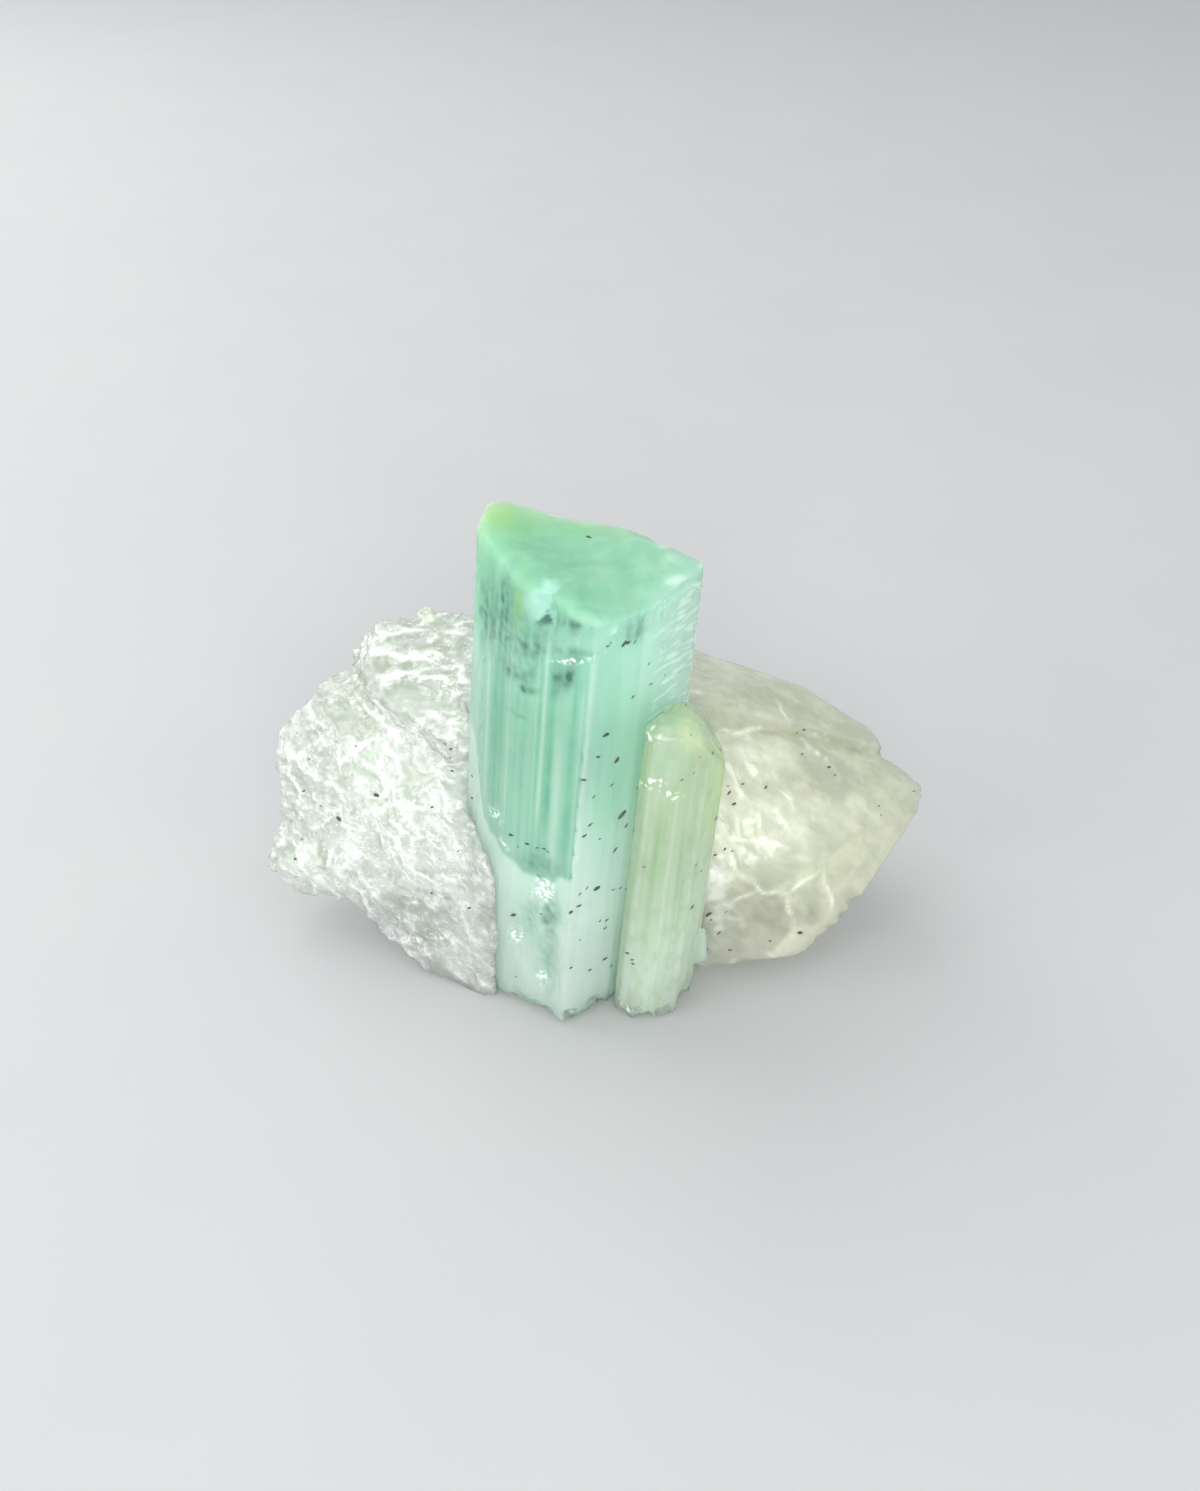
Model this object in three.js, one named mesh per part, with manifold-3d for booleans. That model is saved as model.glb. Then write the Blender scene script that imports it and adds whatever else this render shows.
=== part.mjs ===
// A mineral specimen of mint tourmaline on quartz, as it rests on a shelf. A frosted quartz crystal lies
// on its broken base with its point towards +X, and two parallel tourmaline prisms, one large and one
// small, stand rooted in its front. Millimetres, +Z up, the origin under the middle of the specimen.

import * as THREE from 'three';
import { ConvexGeometry } from 'three/addons/geometries/ConvexGeometry.js';
import { ImprovedNoise } from 'three/addons/math/ImprovedNoise.js';
import { mergeVertices } from 'three/addons/utils/BufferGeometryUtils.js';
import Module from 'manifold-3d';

const wasm = await Module();
wasm.setup();
const perlin = new ImprovedNoise();

// Driving dimensions, in millimetres
const CONTACT_GAP = 0.3; // clearance between crystals that touch
const LEAN = Math.tan(THREE.MathUtils.degToRad(4.4)); // both prisms lean towards +X as they rise
const LARGE_HEIGHT = 33.6;
const LARGE_RIDGE = -3.5; // left of this line the large prism's top rises
const LARGE_RISE = 0.22; // slope of that rise
const LARGE_TILT = 0.07; // slope of the whole top towards the back
const TOP_CORNER = { x: -8.4, y: 0.4, rise: 0.7, spread: 3 }; // the raised back left corner of that top
const SMALL_HEIGHT = 24.4;
const SHOULDER = { x: 3, drop: 0.6, power: 1.6 }; // the small prism's top falls away to the right of x
const TOP_LUMPS = 0.35; // relief of the prisms' ends
const FOOT_LIFT = 0.3; // the prisms end this far above the ground, more or less
const RIB_STEP = 0.62; // spacing of the points round a prism, which carry its ribs
const RIB_DEPTH = 0.11;
const RIB_PITCH = 0.9;
const RIB_RUN = 40; // a rib changes slowly over this height
const QUARTZ_EDGE = 2.4; // longest edge left on the quartz before its relief is raised
const RELIEF = 0.42; // height of the quartz's growth scales
const FAINT_RELIEF = 0.15; // share of it left at the point
const ROUGH_UP_TO = -14; // the relief is whole to the left of this
const FAINT_FROM = 16; // and faint to the right of this
const RELIEF_PITCH = 2.6;
const BREAK_PITCH = 3; // size of the lumps on a broken end
const NOISE_SLICE = { largeTop: 3, smallTop: 9, foot: 17 }; // where in the noise each broken end is cut
const FINE_SHIFT = 40; // how far off in the noise the finer scales are taken
const GROUND_SKIN = 0.02; // what lies lower than this is the flat base and gets no relief

// Corners of each prism's section at the foot, anticlockwise from the front edge
const LARGE_SECTION = [
  [-2.7, -9.9],
  [0.3, -7.9],
  [3.8, -3.5],
  [1.4, -1.3],
  [-2.6, 1.1],
  [-9.6, 0.6],
  [-10.1, -2.4],
  [-7.2, -6.9],
];
const SMALL_SECTION = [
  [3, -9.6],
  [5, -8.9],
  [6.4, -6.7],
  [6.4, -4.5],
  [4.7, -3.5],
  [1, -8.1],
  [1.4, -8.9],
];

// Corners of the blocks that the quartz grew as
const QUARTZ_POINT = [
  [23.5, 3.2, 11],
  [23.3, 2.4, 9.4],
  [20.6, 4.4, 13],
  [20.2, 7.4, 9.6],
  [12, 1.5, 17],
  [-2, 0, 18.5],
  [15.2, -3, 9.1],
  [-2, -5, 9],
  [22.4, 2, 7.9],
  [19.1, -1, 4.4],
  [17.6, -3, 3.4],
  [14.4, -5, 2],
  [7.9, -5.5, 1.3],
  [-2, -5.5, 1.3],
  [-2, -4, 0],
  [7, -3.8, 0],
  [13, -1.5, 0],
  [15.5, 4, 0],
  [12, 9.5, 0],
  [-8, 9.2, 0],
  [-8, 10.9, 3],
  [-8, 12, 11],
  [12.5, 12, 3],
  [12.5, 12, 9],
  [18.5, 8.6, 5.5],
];
const QUARTZ_CREST = [
  [-8.4, -2.4, 17.6],
  [-10.2, -1, 16.6],
  [-16.1, 3, 19.6],
  [-17.8, 7, 20.2],
  [-15.8, 7, 22.7],
  [-11.9, 7, 23.4],
  [-2, 7, 22.9],
  [-2, 1, 22.2],
  [6.8, 1, 20.9],
  [12.5, 2, 17.7],
  [20.9, 4.5, 13.3],
  [19.7, 6, 14.2],
  [14.5, 7, 17.4],
  [6.4, 7, 20.5],
  [-17.5, 9.5, 15],
  [-14.2, 12.3, 11.8],
  [6, 11.9, 11],
  [14, 11.4, 9.5],
  [18.6, 8.4, 9],
  [-15, 6, 12],
  [15, 5, 9],
];
const QUARTZ_ROOT = [
  [-16, 4, 19],
  [-9, 0, 16.4],
  [-17.5, 8, 18.5],
  [6, 8, 17.5],
  [-6, -6.8, 11],
  [-5, -7.2, 0],
  [-8.7, -7, 0],
  [-12.3, -5.2, 0.6],
  [-16.1, -2.7, 2.2],
  [-20.6, 6, 17.5],
  [-22.7, 5, 15.2],
  [-23.5, 4, 13.7],
  [-23.2, 2, 9.3],
  [-20, 0, 6],
  [-21, 9.5, 12],
  [-19, 10.5, 4],
  [6, 11.4, 3],
  [6, 11.8, 11],
  [-14.5, 12.6, 11.5],
  [-17, 3, 0],
  [-13, -3.6, 0],
  [-15.5, 9.5, 0],
  [6, 9, 0],
];
const QUARTZ_LOBE = [
  [-22.8, 3, 10],
  [-24.5, 1, 5.1],
  [-23.4, 3, 3.2],
  [-22.2, 0, 3.6],
  [-18.8, -1.2, 4.1],
  [-18.5, -1.4, 7.5],
  [-17, 4, 9],
  [-17, 4, 2.5],
  [-21, 6, 5],
];
const QUARTZ_BUD = [
  [-13, 6.3, 22.4],
  [-11.4, 6.3, 22.6],
  [-11.4, 7.7, 22.6],
  [-13, 7.7, 22.4],
  [-12.8, 6.7, 23.6],
  [-11.8, 6.8, 23.9],
  [-12.1, 7.3, 23.8],
];

// Corners of the splinter on the small prism's right side
const SPLINTER = [
  [5.6, -7.4, 3.2],
  [7.5, -7, 3.4],
  [7.5, -6, 3.4],
  [5.6, -6, 3.2],
  [5.8, -7.2, 5.9],
  [7.3, -6.8, 5.7],
  [7.3, -6.1, 5.6],
  [5.8, -6.1, 5.9],
];

// Shell-shaped breaks in the large prism's front: a chip under the top and a long one low on the left
const BREAKS = [
  { centre: [-3.3, -8.8, 33.3], radii: [1.7, 1.2, 2.4], turn: -31, dip: 12 },
  { centre: [-5.6, -9.3, 6.5], radii: [6, 2, 2.3], turn: -31, dip: 63 },
];

// Smooth noise between about -1 and 1, with lumps of the size given
function lumps(x, y, z, pitch) {
  return perlin.noise(x / pitch, y / pitch, z / pitch);
}

// Surfaces that end the prisms, as heights over the section
function largeTop(x, y) {
  const slope = LARGE_RISE * Math.max(0, LARGE_RIDGE - x) + LARGE_TILT * y;
  const away = (x - TOP_CORNER.x) ** 2 + (y - TOP_CORNER.y) ** 2;
  const corner = TOP_CORNER.rise * Math.exp(-away / TOP_CORNER.spread);
  return LARGE_HEIGHT + slope + corner + TOP_LUMPS * lumps(x, y, NOISE_SLICE.largeTop, BREAK_PITCH);
}

function smallTop(x, y) {
  const fall = SHOULDER.drop * Math.max(0, x - SHOULDER.x) ** SHOULDER.power;
  return SMALL_HEIGHT - fall + TOP_LUMPS * lumps(x, y, NOISE_SLICE.smallTop, BREAK_PITCH);
}

function brokenFoot(x, y) {
  return FOOT_LIFT * (1 + lumps(x, y, NOISE_SLICE.foot, BREAK_PITCH));
}

// Points round a section with their outward normals, mitred at the corners, a rib step apart
function outlineOf(corners) {
  const edges = corners.map(([x0, y0], i) => {
    const [x1, y1] = corners[(i + 1) % corners.length];
    const length = Math.hypot(x1 - x0, y1 - y0);
    return { x0, y0, dx: x1 - x0, dy: y1 - y0, length, nx: (y1 - y0) / length, ny: (x0 - x1) / length };
  });
  return edges.flatMap((edge, i) => {
    const last = edges.at(i - 1);
    const mitre = 1 + edge.nx * last.nx + edge.ny * last.ny;
    const count = Math.round(edge.length / RIB_STEP);
    return Array.from({ length: count }, (_, k) => ({
      x: edge.x0 + (edge.dx * k) / count,
      y: edge.y0 + (edge.dy * k) / count,
      nx: k ? edge.nx : (edge.nx + last.nx) / mitre,
      ny: k ? edge.ny : (edge.ny + last.ny) / mitre,
    }));
  });
}

// A closed prism: rings of points from foot to top, with rings drawn in across both ends
function prismGeometry({ corners, top, foot, levels, capRings, outset = 0, ribbed = true }) {
  const outline = outlineOf(corners);
  const count = outline.length;
  const middle = outline.reduce((sum, p) => [sum[0] + p.x / count, sum[1] + p.y / count], [0, 0]);
  const rings = [];
  const inward = (p, share) => [p.x + (middle[0] - p.x) * share, p.y + (middle[1] - p.y) * share];
  for (let k = 1; k < capRings; k++) {
    rings.push(outline.map((p) => {
      const [x, y] = inward(p, 1 - k / capRings);
      return [x, y, foot(x, y)];
    }));
  }
  for (let level = 0; level <= levels; level++) {
    rings.push(outline.map((p, i) => {
      const z = THREE.MathUtils.lerp(foot(p.x, p.y), top(p.x, p.y), level / levels);
      const rib = ribbed ? RIB_DEPTH * perlin.noise((i * RIB_STEP) / RIB_PITCH, z / RIB_RUN, count) : 0;
      return [p.x + p.nx * (rib + outset), p.y + p.ny * (rib + outset), z];
    }));
  }
  for (let k = capRings - 1; k > 0; k--) {
    rings.push(outline.map((p) => {
      const [x, y] = inward(p, 1 - k / capRings);
      return [x, y, top(x, y)];
    }));
  }
  const points = rings.flat();
  const faces = [];
  for (let r = 0; r + 1 < rings.length; r++) {
    for (let i = 0; i < count; i++) {
      const a = r * count + i;
      const b = r * count + ((i + 1) % count);
      faces.push(a, b, b + count, a, b + count, a + count);
    }
  }
  const footMiddle = points.push([...middle, foot(...middle)]) - 1;
  const topMiddle = points.push([...middle, top(...middle)]) - 1;
  const lastRing = (rings.length - 1) * count;
  for (let i = 0; i < count; i++) {
    const next = (i + 1) % count;
    faces.push(footMiddle, next, i, topMiddle, lastRing + i, lastRing + next);
  }
  const leaning = points.flatMap(([x, y, z]) => [x + LEAN * z, y, z]);
  return new THREE.BufferGeometry()
    .setAttribute('position', new THREE.Float32BufferAttribute(leaning, 3))
    .setIndex(faces);
}

// Solids for joining and cutting, and back
function solidOf(geometry) {
  const bare = geometry.clone();
  bare.deleteAttribute('normal');
  bare.deleteAttribute('uv');
  const merged = mergeVertices(bare, 1e-4);
  return new wasm.Manifold(
    new wasm.Mesh({
      numProp: 3,
      vertProperties: merged.attributes.position.array,
      triVerts: new Uint32Array(merged.index.array),
    }),
  );
}

function geometryOf(solid) {
  const mesh = solid.getMesh();
  return new THREE.BufferGeometry()
    .setAttribute('position', new THREE.BufferAttribute(mesh.vertProperties, 3))
    .setIndex(new THREE.BufferAttribute(mesh.triVerts, 1));
}

function blockOf(corners) {
  return solidOf(new ConvexGeometry(corners.map((corner) => new THREE.Vector3(...corner))));
}

function largestOf(solid) {
  return solid.decompose().reduce((a, b) => (a.volume() > b.volume() ? a : b));
}

// Splits every edge longer than the limit at its middle until none is left, keeping the mesh closed
function refine(geometry, longest) {
  const points = [];
  const position = geometry.attributes.position;
  for (let i = 0; i < position.count; i++) points.push(new THREE.Vector3().fromBufferAttribute(position, i));
  let faces = [];
  const index = geometry.index.array;
  for (let i = 0; i < index.length; i += 3) faces.push([index[i], index[i + 1], index[i + 2]]);
  let split = true;
  while (split) {
    split = false;
    const middles = new Map();
    const middleOf = (a, b) => {
      if (points[a].distanceTo(points[b]) <= longest) return -1;
      const key = a < b ? `${a} ${b}` : `${b} ${a}`;
      if (!middles.has(key)) middles.set(key, points.push(points[a].clone().lerp(points[b], 0.5)) - 1);
      return middles.get(key);
    };
    const next = [];
    for (const [a, b, c] of faces) {
      const ab = middleOf(a, b);
      const bc = middleOf(b, c);
      const ca = middleOf(c, a);
      const rim = [a, ab, b, bc, c, ca].filter((v) => v >= 0);
      if (rim.length === 3) {
        next.push([a, b, c]);
        continue;
      }
      split = true;
      if (rim.length === 6) {
        next.push([a, ab, ca], [ab, b, bc], [ca, bc, c], [ab, bc, ca]);
      } else {
        // A fan from a new middle keeps clear of the edge that it lies on
        const start = rim.findIndex((v) => v === ab || v === bc || v === ca);
        const turned = [...rim.slice(start), ...rim.slice(0, start)];
        for (let i = 1; i + 1 < turned.length; i++) next.push([turned[0], turned[i], turned[i + 1]]);
      }
    }
    faces = next;
  }
  return new THREE.BufferGeometry().setFromPoints(points).setIndex(faces.flat());
}

// Raises growth scales on the quartz: strong on the rough end, faint on the point, none on the base
function raiseScales(geometry) {
  geometry.computeVertexNormals();
  const { position, normal } = geometry.attributes;
  const place = new THREE.Vector3();
  const outward = new THREE.Vector3();
  for (let i = 0; i < position.count; i++) {
    place.fromBufferAttribute(position, i);
    outward.fromBufferAttribute(normal, i);
    const { x, y, z } = place;
    if (z < GROUND_SKIN) continue;
    const towardsPoint = THREE.MathUtils.smoothstep(x, ROUGH_UP_TO, FAINT_FROM);
    const scale = lumps(x, y, z, RELIEF_PITCH) + lumps(x + FINE_SHIFT, y, z, RELIEF_PITCH / 2) / 2;
    place.addScaledVector(outward, RELIEF * THREE.MathUtils.lerp(1, FAINT_RELIEF, towardsPoint) * scale);
    position.setXYZ(i, place.x, place.y, Math.max(place.z, GROUND_SKIN));
  }
  return geometry;
}

// The tourmaline prisms
const largePrism = { corners: LARGE_SECTION, top: largeTop, foot: brokenFoot, levels: 7, capRings: 5 };
const smallPrism = { corners: SMALL_SECTION, top: smallTop, foot: brokenFoot, levels: 7, capRings: 4 };

function breakOf({ centre, radii, turn, dip }) {
  const shell = new THREE.Object3D();
  shell.position.set(...centre);
  shell.scale.set(...radii);
  shell.rotation.set(0, THREE.MathUtils.degToRad(dip), THREE.MathUtils.degToRad(turn), 'ZYX');
  shell.updateMatrix();
  return solidOf(new THREE.IcosahedronGeometry(1, 6).applyMatrix4(shell.matrix));
}

function largeGeometry() {
  const whole = solidOf(prismGeometry(largePrism));
  return geometryOf(largestOf(BREAKS.reduce((solid, shell) => solid.subtract(breakOf(shell)), whole)));
}

function smallGeometry() {
  return geometryOf(solidOf(prismGeometry(smallPrism)).add(blockOf(SPLINTER)));
}

// The room that a prism takes up in the quartz, with clearance all round
function socketOf(prism) {
  const overrun = 3;
  return solidOf(prismGeometry({
    ...prism,
    top: (x, y) => prism.top(x, y) + overrun,
    foot: () => -overrun,
    outset: CONTACT_GAP,
    ribbed: false,
  }));
}

function quartzGeometry() {
  const grown = [QUARTZ_CREST, QUARTZ_ROOT, QUARTZ_LOBE, QUARTZ_BUD].reduce(
    (solid, corners) => solid.add(blockOf(corners)),
    blockOf(QUARTZ_POINT),
  );
  const scaled = solidOf(raiseScales(refine(geometryOf(grown), QUARTZ_EDGE)));
  return geometryOf(largestOf(scaled.subtract(socketOf(largePrism)).subtract(socketOf(smallPrism))));
}

// Finishes
const quartzFinish = new THREE.MeshStandardMaterial({ color: 0xe4e8dc, roughness: 0.45, metalness: 0 });
const largeFinish = new THREE.MeshStandardMaterial({ color: 0x9fd3b8, roughness: 0.25, metalness: 0 });
const smallFinish = new THREE.MeshStandardMaterial({ color: 0xbcd5b7, roughness: 0.3, metalness: 0 });

function piece(name, geometry, material) {
  const mesh = new THREE.Mesh(geometry, material);
  mesh.name = name;
  return mesh;
}

const specimen = new THREE.Group();
specimen.add(
  piece('quartz', quartzGeometry(), quartzFinish),
  piece('large_tourmaline', largeGeometry(), largeFinish),
  piece('small_tourmaline', smallGeometry(), smallFinish),
);

// The origin goes under the middle of the whole, on the ground
const extent = new THREE.Box3().setFromObject(specimen);
const middle = extent.getCenter(new THREE.Vector3());
specimen.position.set(-middle.x, -middle.y, -extent.min.z);

export default specimen;
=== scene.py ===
import math

import bmesh
import bpy
import numpy as np
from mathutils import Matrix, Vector
from mathutils.bvhtree import BVHTree


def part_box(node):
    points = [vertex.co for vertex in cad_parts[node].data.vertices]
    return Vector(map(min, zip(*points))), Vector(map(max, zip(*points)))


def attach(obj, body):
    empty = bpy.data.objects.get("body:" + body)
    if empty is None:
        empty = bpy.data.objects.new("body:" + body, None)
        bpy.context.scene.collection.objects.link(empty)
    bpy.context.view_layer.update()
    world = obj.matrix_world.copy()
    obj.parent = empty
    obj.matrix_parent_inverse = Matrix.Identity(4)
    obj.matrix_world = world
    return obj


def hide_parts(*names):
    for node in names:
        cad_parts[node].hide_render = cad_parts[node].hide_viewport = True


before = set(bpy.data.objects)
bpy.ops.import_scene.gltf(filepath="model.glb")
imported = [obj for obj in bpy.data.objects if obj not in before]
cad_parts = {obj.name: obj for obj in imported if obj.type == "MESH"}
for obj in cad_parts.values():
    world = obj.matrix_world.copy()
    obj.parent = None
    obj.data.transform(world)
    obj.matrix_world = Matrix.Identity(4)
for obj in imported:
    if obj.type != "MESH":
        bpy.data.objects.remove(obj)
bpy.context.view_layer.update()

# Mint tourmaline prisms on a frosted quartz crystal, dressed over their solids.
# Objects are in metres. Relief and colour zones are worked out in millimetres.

MM = 0.001

# The photograph's view
IMAGE_SIZE = (1200, 1491)
VIEW_TARGET = Vector((0.00055, -0.00138, 0.017))
VIEW_DISTANCE = 0.103
VIEW_PITCH = math.radians(36)
VIEW_BACK = Vector((0, -math.cos(VIEW_PITCH), math.sin(VIEW_PITCH)))
VIEW_UP = Vector((0, math.sin(VIEW_PITCH), math.cos(VIEW_PITCH)))
EYE = VIEW_TARGET + VIEW_BACK * VIEW_DISTANCE
LENS = 36.2
SENSOR = 36
FOCAL = LENS / SENSOR * IMAGE_SIZE[1]  # in pixels
PIXEL = VIEW_DISTANCE / MM / FOCAL  # millimetres to a pixel of the photograph, at the crystals

# Fineness of the skins, in metres
LARGE_VOXEL = 0.00015
SMALL_VOXEL = 0.00011
QUARTZ_VOXEL = 0.00021

LEAN_ANGLE = math.radians(4.4)  # both prisms lean towards +X as they rise
LEAN = math.tan(LEAN_ANGLE)


# Noise

GRADIENT_COUNT = 256
GRADIENT_SEED = 11
NOISE_SHIFT = 19.37  # in lumps, between one seed and the next
NOISE_GAIN = 1.9
HASH = (73856093, 19349663, 83492791)


def gradient_table():
    turns = np.random.default_rng(GRADIENT_SEED).normal(size=(GRADIENT_COUNT, 3))
    return turns / np.linalg.norm(turns, axis=1, keepdims=True)


GRADIENTS = gradient_table()


def noise(points, pitch, seed=0):
    """Smooth noise between about -1 and 1, with lumps of the pitch given."""
    scaled = points / pitch + seed * NOISE_SHIFT
    cell = np.floor(scaled).astype(np.int64)
    local = scaled - cell
    fade = local ** 3 * (local * (local * 6 - 15) + 10)
    total = np.zeros(len(points))
    for corner in np.ndindex(2, 2, 2):
        at = cell + corner
        pick = (at[:, 0] * HASH[0]) ^ (at[:, 1] * HASH[1]) ^ (at[:, 2] * HASH[2])
        gradient = GRADIENTS[(pick ^ (pick >> 9)) & (GRADIENT_COUNT - 1)]
        weight = np.prod(np.where(np.array(corner, bool), fade, 1 - fade), axis=1)
        total += weight * np.einsum("ij,ij->i", gradient, local - corner)
    return total * NOISE_GAIN


def crests(points, pitch, seed, octaves=3):
    """Sharp crests between about 0 and 1 that branch into finer crests."""
    total, weight, reach = 0, 1, 0
    for k in range(octaves):
        crest = np.clip(1 - np.abs(noise(points, pitch / 2 ** k, seed + k)), 0, 1) ** 2 * weight
        total = total + crest / 2 ** k
        reach += 1 / 2 ** k
        weight = np.clip(1.6 * crest, 0, 1)
    return total / reach


def step(low, high, values):
    """Smooth step from 0 at low to 1 at high."""
    t = np.clip((values - low) / (high - low), 0, 1)
    return t * t * (3 - 2 * t)


# Mesh helpers

def points_of(mesh):
    flat = np.empty(len(mesh.vertices) * 3, np.float32)
    mesh.vertices.foreach_get("co", flat)
    return flat.reshape(-1, 3).astype(float) / MM


def normals_of(mesh):
    flat = np.empty(len(mesh.vertices) * 3, np.float32)
    mesh.vertex_normals.foreach_get("vector", flat)
    return flat.reshape(-1, 3).astype(float)


def place(mesh, points):
    mesh.vertices.foreach_set("co", (points * MM).astype(np.float32).ravel())
    mesh.update()


def store(mesh, name, values):
    attribute = mesh.attributes.new(name, "FLOAT", "POINT")
    attribute.data.foreach_set("value", np.clip(values, 0, 1).astype(np.float32))


def relax(mesh, points, share, rounds):
    """Moves each point by its share towards the mean of its neighbours."""
    ends = np.empty(len(mesh.edges) * 2, np.int32)
    mesh.edges.foreach_get("vertices", ends)
    a, b = ends.reshape(-1, 2).T
    size = len(points)
    count = np.bincount(a, minlength=size) + np.bincount(b, minlength=size)
    for _ in range(rounds):
        mean = np.empty_like(points)
        for k in range(3):
            total = np.bincount(a, points[b, k], size) + np.bincount(b, points[a, k], size)
            mean[:, k] = total / count
        points = points + share[:, None] * (mean - points)
    return points


def drop_crumbs(mesh):
    """Keeps the main part of a skin, without crumbs left where a wedge is thinner than the voxels."""
    ends = np.empty(len(mesh.edges) * 2, np.int32)
    mesh.edges.foreach_get("vertices", ends)
    a, b = ends.reshape(-1, 2).T
    label = np.arange(len(mesh.vertices))
    while (label[a] != label[b]).any():
        lowest = np.minimum(label[a], label[b])
        np.minimum.at(label, label[a], lowest)
        np.minimum.at(label, label[b], lowest)
        label = label[label]
    crumbs = np.flatnonzero(label != np.bincount(label).argmax())
    if len(crumbs):
        grid = bmesh.new()
        grid.from_mesh(mesh)
        grid.verts.ensure_lookup_table()
        bmesh.ops.delete(grid, geom=[grid.verts[int(i)] for i in crumbs], context="VERTS")
        grid.to_mesh(mesh)
        grid.free()


def skin_of(node, name, voxel):
    """A fine closed skin over a solid, as a new object."""
    piece = bpy.data.objects.new(name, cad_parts[node].data.copy())
    bpy.context.scene.collection.objects.link(piece)
    remesh = piece.modifiers.new("skin", "REMESH")
    remesh.mode = "VOXEL"
    remesh.voxel_size = voxel
    remesh.use_smooth_shade = True
    graph = bpy.context.evaluated_depsgraph_get()
    fine = bpy.data.meshes.new_from_object(piece.evaluated_get(graph))
    piece.modifiers.clear()
    piece.data = fine
    fine.name = name
    fine.materials.clear()
    drop_crumbs(fine)
    points = points_of(fine)
    place(fine, relax(fine, points, np.full(len(points), 0.5), 2))
    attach(piece, "root")
    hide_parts(node)
    return piece


def close_contact(piece, others, reach=0.5, gap=0.03):
    """Draws a skin up to the crystals that it has grown against, and keeps it out of them."""
    mesh = piece.data
    points = points_of(mesh)
    facing = normals_of(mesh)
    trees = [tree_of(other) for other in others]
    near = np.zeros(len(points))
    for index, point in enumerate(points):
        for tree in trees:
            spot, normal, _, distance = tree.find_nearest(Vector(point * MM), reach * MM)
            if spot is None:
                continue
            near[index] = 1
            target = np.array(spot + normal * gap * MM) / MM
            opposed = step(0.2, 0.8, -normal.dot(facing[index]))
            close = 1 - step(0.7 * reach, reach, distance / MM)
            points[index] += opposed * close * (target - points[index])
    points = relax(mesh, points, 0.5 * near, 3)
    for index in np.flatnonzero(near):
        at = Vector(points[index] * MM)
        for tree in trees:
            spot, normal, _, _ = tree.find_nearest(at, reach * MM)
            if spot is not None and (at - spot).dot(normal) < gap * MM:
                points[index] = np.array(spot + normal * gap * MM) / MM
    points[:, 2] = np.maximum(points[:, 2], 0)
    place(mesh, points)


# Lines of sight of the photograph

def tree_of(piece):
    return BVHTree.FromObject(piece, bpy.context.evaluated_depsgraph_get())


def sight(pixel):
    """Direction of the line of sight through a pixel of the photograph."""
    right = (pixel[0] - IMAGE_SIZE[0] / 2) / FOCAL
    rise = (IMAGE_SIZE[1] / 2 - pixel[1]) / FOCAL
    return (Vector((right, 0, 0)) + VIEW_UP * rise - VIEW_BACK).normalized()


def seen(trees, pixel):
    """First hit on any of the skins along a line of sight: place in metres, normal."""
    hits = [tree.ray_cast(EYE, sight(pixel)) for tree in trees]
    hits = [hit for hit in hits if hit[0] is not None]
    return min(hits, key=lambda hit: hit[3])[:2] if hits else None


def traced(tree, path, pitch=2.2):
    """A path of pixels laid on a skin: points in millimetres close together, and their share of the way."""
    lengths = [math.dist(a, b) for a, b in zip(path, path[1:])]
    done, spots, shares = 0, [], []
    for (a, b), length in zip(zip(path, path[1:]), lengths):
        for t in np.linspace(0, 1, max(2, int(length / pitch))):
            hit = seen([tree], (a[0] + t * (b[0] - a[0]), a[1] + t * (b[1] - a[1])))
            if hit is not None:
                spots.append(np.array(hit[0]) / MM)
                shares.append((done + t * length) / sum(lengths))
        done += length
    spots = np.array(spots)
    wave = np.column_stack([noise(spots, 1.1, 80 + k) for k in range(3)])
    return spots + 0.3 * wave, np.array(shares)


def lines_near(points, tree, paths, width):
    """Strength between 0 and 1 of soft wavy lines of a half width, that fade at the ends of their paths."""
    strength = np.zeros(len(points))
    for path in paths:
        for spot, share in zip(*traced(tree, path)):
            fade = math.sin(math.pi * min(max(share, 0.06), 0.94)) ** 0.6
            distance = ((points - spot) ** 2).sum(axis=1)
            strength = np.maximum(strength, fade * np.exp(-distance / width ** 2))
    return strength


def pixels_of(points):
    """Pixels of the photograph at which points in millimetres are seen."""
    offset = points * MM - np.array(EYE)
    depth = -offset @ np.array(VIEW_BACK)
    right = IMAGE_SIZE[0] / 2 + FOCAL * offset[:, 0] / depth
    down = IMAGE_SIZE[1] / 2 - FOCAL * (offset @ np.array(VIEW_UP)) / depth
    return np.column_stack([right, down])


def inside(pixels, outline):
    """Distance in pixels inside an outline, below 0 outside of it."""
    x, y = pixels.T
    nearest = np.full(len(pixels), np.inf)
    within = np.zeros(len(pixels), bool)
    for (ax, ay), (bx, by) in zip(outline, outline[1:] + outline[:1]):
        run = ((x - ax) * (bx - ax) + (y - ay) * (by - ay)) / ((bx - ax) ** 2 + (by - ay) ** 2)
        run = np.clip(run, 0, 1)
        nearest = np.minimum(nearest, np.hypot(x - ax - run * (bx - ax), y - ay - run * (by - ay)))
        if ay != by:
            within ^= ((ay > y) != (by > y)) & (x < (bx - ax) * (y - ay) / (by - ay) + ax)
    return np.where(within, nearest, -nearest)


def areas_on(points, normal, outlines, soft, seed):
    """Strength between 0 and 1 of areas with soft ragged edges, on walls that face the eye."""
    pixels = pixels_of(points)
    ragged = soft * (noise(points, 1.2, seed) + 0.6 * noise(points, 0.5, seed + 1))
    strength = np.zeros(len(points))
    for outline in outlines:
        strength = np.maximum(strength, step(-soft, soft, inside(pixels, outline) + ragged))
    facing = np.einsum("ij,ij->i", normal, np.array(EYE) / MM - points) > 0
    return strength * facing


# Prisms

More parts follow.
